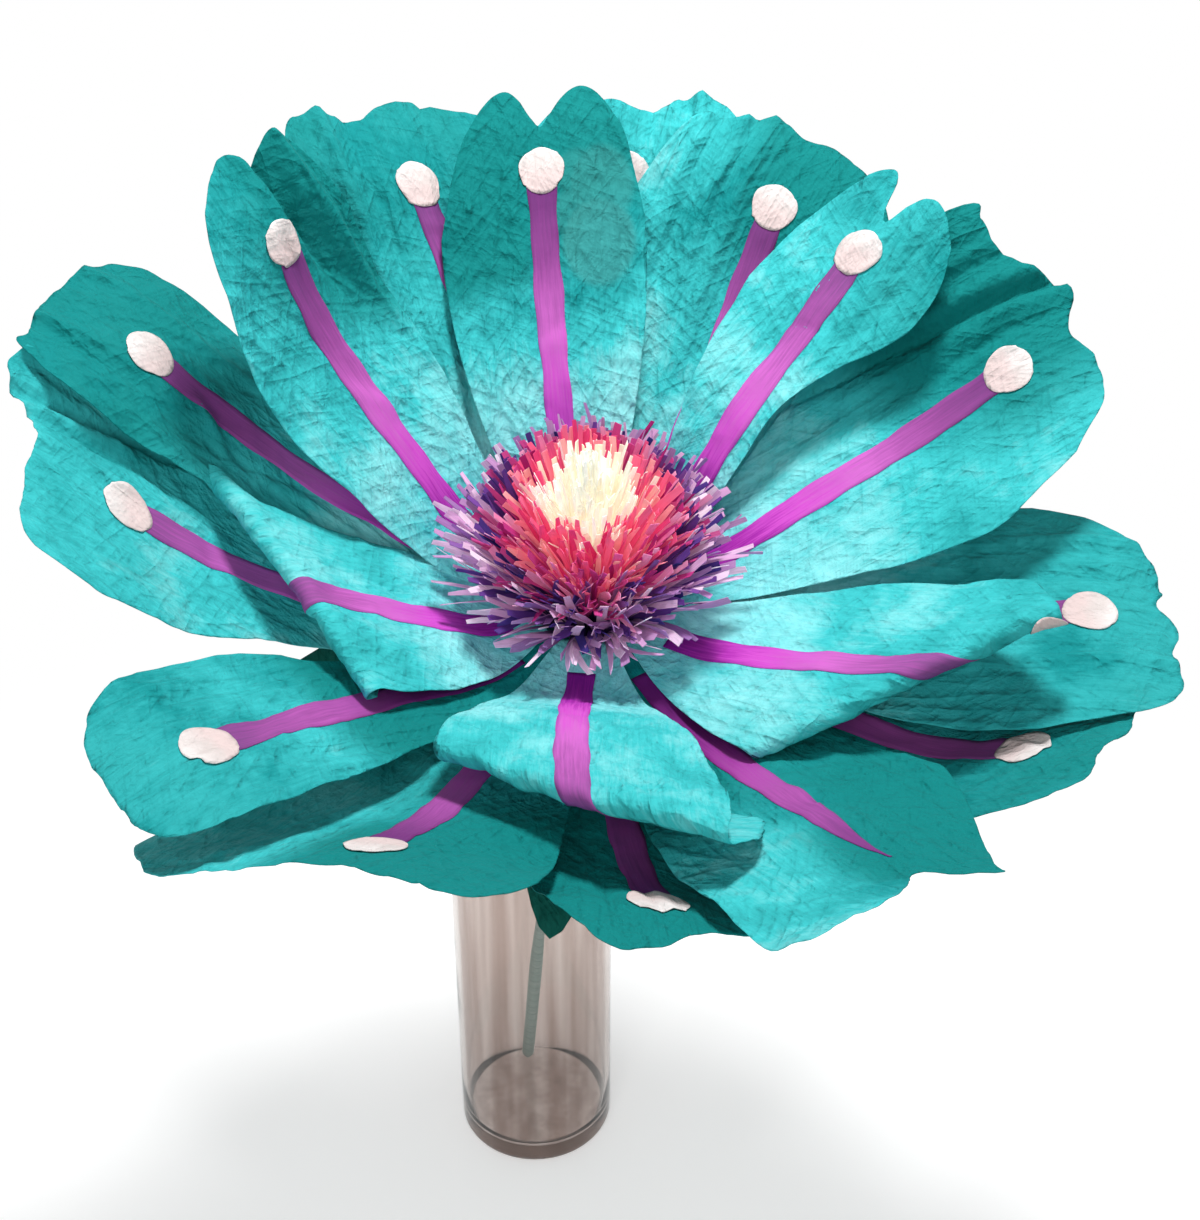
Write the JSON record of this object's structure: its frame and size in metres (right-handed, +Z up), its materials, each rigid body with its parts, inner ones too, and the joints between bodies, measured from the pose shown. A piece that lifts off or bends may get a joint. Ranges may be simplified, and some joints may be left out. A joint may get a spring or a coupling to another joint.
{
  "type": "giant paper flower",
  "caption": "Oversized open paper flower with cupped petals and a fringed centre on a slim stem, leaning in a clear cylinder vase, used as a decoration",
  "frame": {"origin": "centre of the vase's flat underside, on the surface it stands on", "axes": "+Z up along the vase, -Y the way the flower faces and leans, +X to the viewer's right"},
  "size_m": [0.5219, 0.4842, 0.6895],
  "materials": {
    "vase_glass": "clear, faintly smoky, polished",
    "stem_wrap": "dowel wrapped in grey-green paper tape",
    "hub_card": "matte",
    "calyx_paper": "matte, crinkled",
    "petal_paper": "matte handmade paper, crinkled",
    "stripe_paper": "matte, lightly streaked",
    "fringe_cream": "matte",
    "fringe_coral": "matte",
    "fringe_magenta": "matte",
    "fringe_violet": "matte",
    "fringe_lavender": "matte"
  },
  "bodies": {
    "root": {"vase": "vase_glass", "stem": "stem_wrap", "hub_disc": "hub_card", "calyx": "calyx_paper", "fringe_cream": "fringe_cream", "fringe_coral": "fringe_coral", "fringe_magenta": "fringe_magenta", "fringe_violet": "fringe_violet", "fringe_lavender": "fringe_lavender", "petal_inner_1": "petal_paper", "stripe_inner_1": "stripe_paper", "petal_inner_2": "petal_paper", "stripe_inner_2": "stripe_paper", "petal_inner_3": "petal_paper", "stripe_inner_3": "stripe_paper", "petal_inner_4": "petal_paper", "stripe_inner_4": "stripe_paper", "petal_inner_5": "petal_paper", "stripe_inner_5": "stripe_paper", "petal_inner_6": "petal_paper", "stripe_inner_6": "stripe_paper", "petal_middle_1": "petal_paper", "stripe_middle_1": "stripe_paper", "petal_middle_2": "petal_paper", "stripe_middle_2": "stripe_paper", "petal_middle_3": "petal_paper", "stripe_middle_3": "stripe_paper", "petal_middle_4": "petal_paper", "stripe_middle_4": "stripe_paper", "petal_middle_5": "petal_paper", "stripe_middle_5": "stripe_paper", "petal_middle_6": "petal_paper", "stripe_middle_6": "stripe_paper", "petal_outer_1": "petal_paper", "stripe_outer_1": "stripe_paper", "petal_outer_2": "petal_paper", "stripe_outer_2": "stripe_paper", "petal_outer_3": "petal_paper", "stripe_outer_3": "stripe_paper", "petal_outer_4": "petal_paper", "stripe_outer_4": "stripe_paper", "petal_outer_5": "petal_paper", "stripe_outer_5": "stripe_paper", "petal_outer_6": "petal_paper", "stripe_outer_6": "stripe_paper"}
  },
  "joints": []
}
